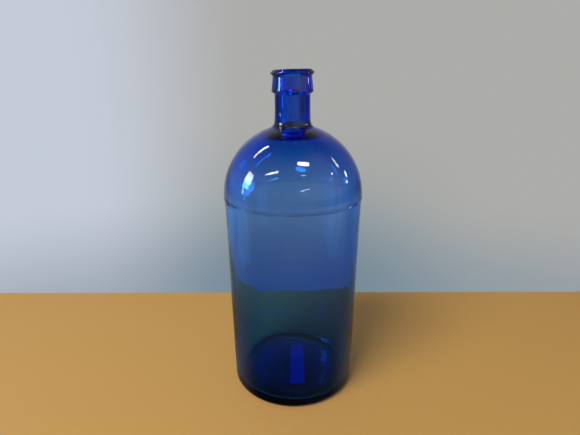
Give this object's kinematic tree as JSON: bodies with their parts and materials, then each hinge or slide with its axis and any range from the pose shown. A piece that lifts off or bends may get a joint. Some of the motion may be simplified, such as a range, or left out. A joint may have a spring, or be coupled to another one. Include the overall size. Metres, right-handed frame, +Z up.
{
  "type": "antique glass bottle",
  "caption": "Round stock bottle of deep cobalt glass with a tapered body, domed shoulder, short neck and a hand-laid lip; it holds liquid and takes a cork.",
  "frame": {"origin": "centre of the foot ring, on the plane that the bottle rests on", "axes": "+Z up along the bottle's axis towards the mouth; the tooled lip is slightly higher on its +X side"},
  "size_m": [0.116, 0.116, 0.2755],
  "materials": {
    "cobalt_glass": "deep cobalt blue hand-blown glass, glossy and slightly rippled",
    "label_paper": "matt pale blue gummed paper, slightly foxed"
  },
  "bodies": {
    "root": {"base": "cobalt_glass", "body": "cobalt_glass", "shoulder": "cobalt_glass", "neck": "cobalt_glass", "collar": "cobalt_glass", "lip": "cobalt_glass", "base_label": "label_paper"}
  },
  "joints": []
}
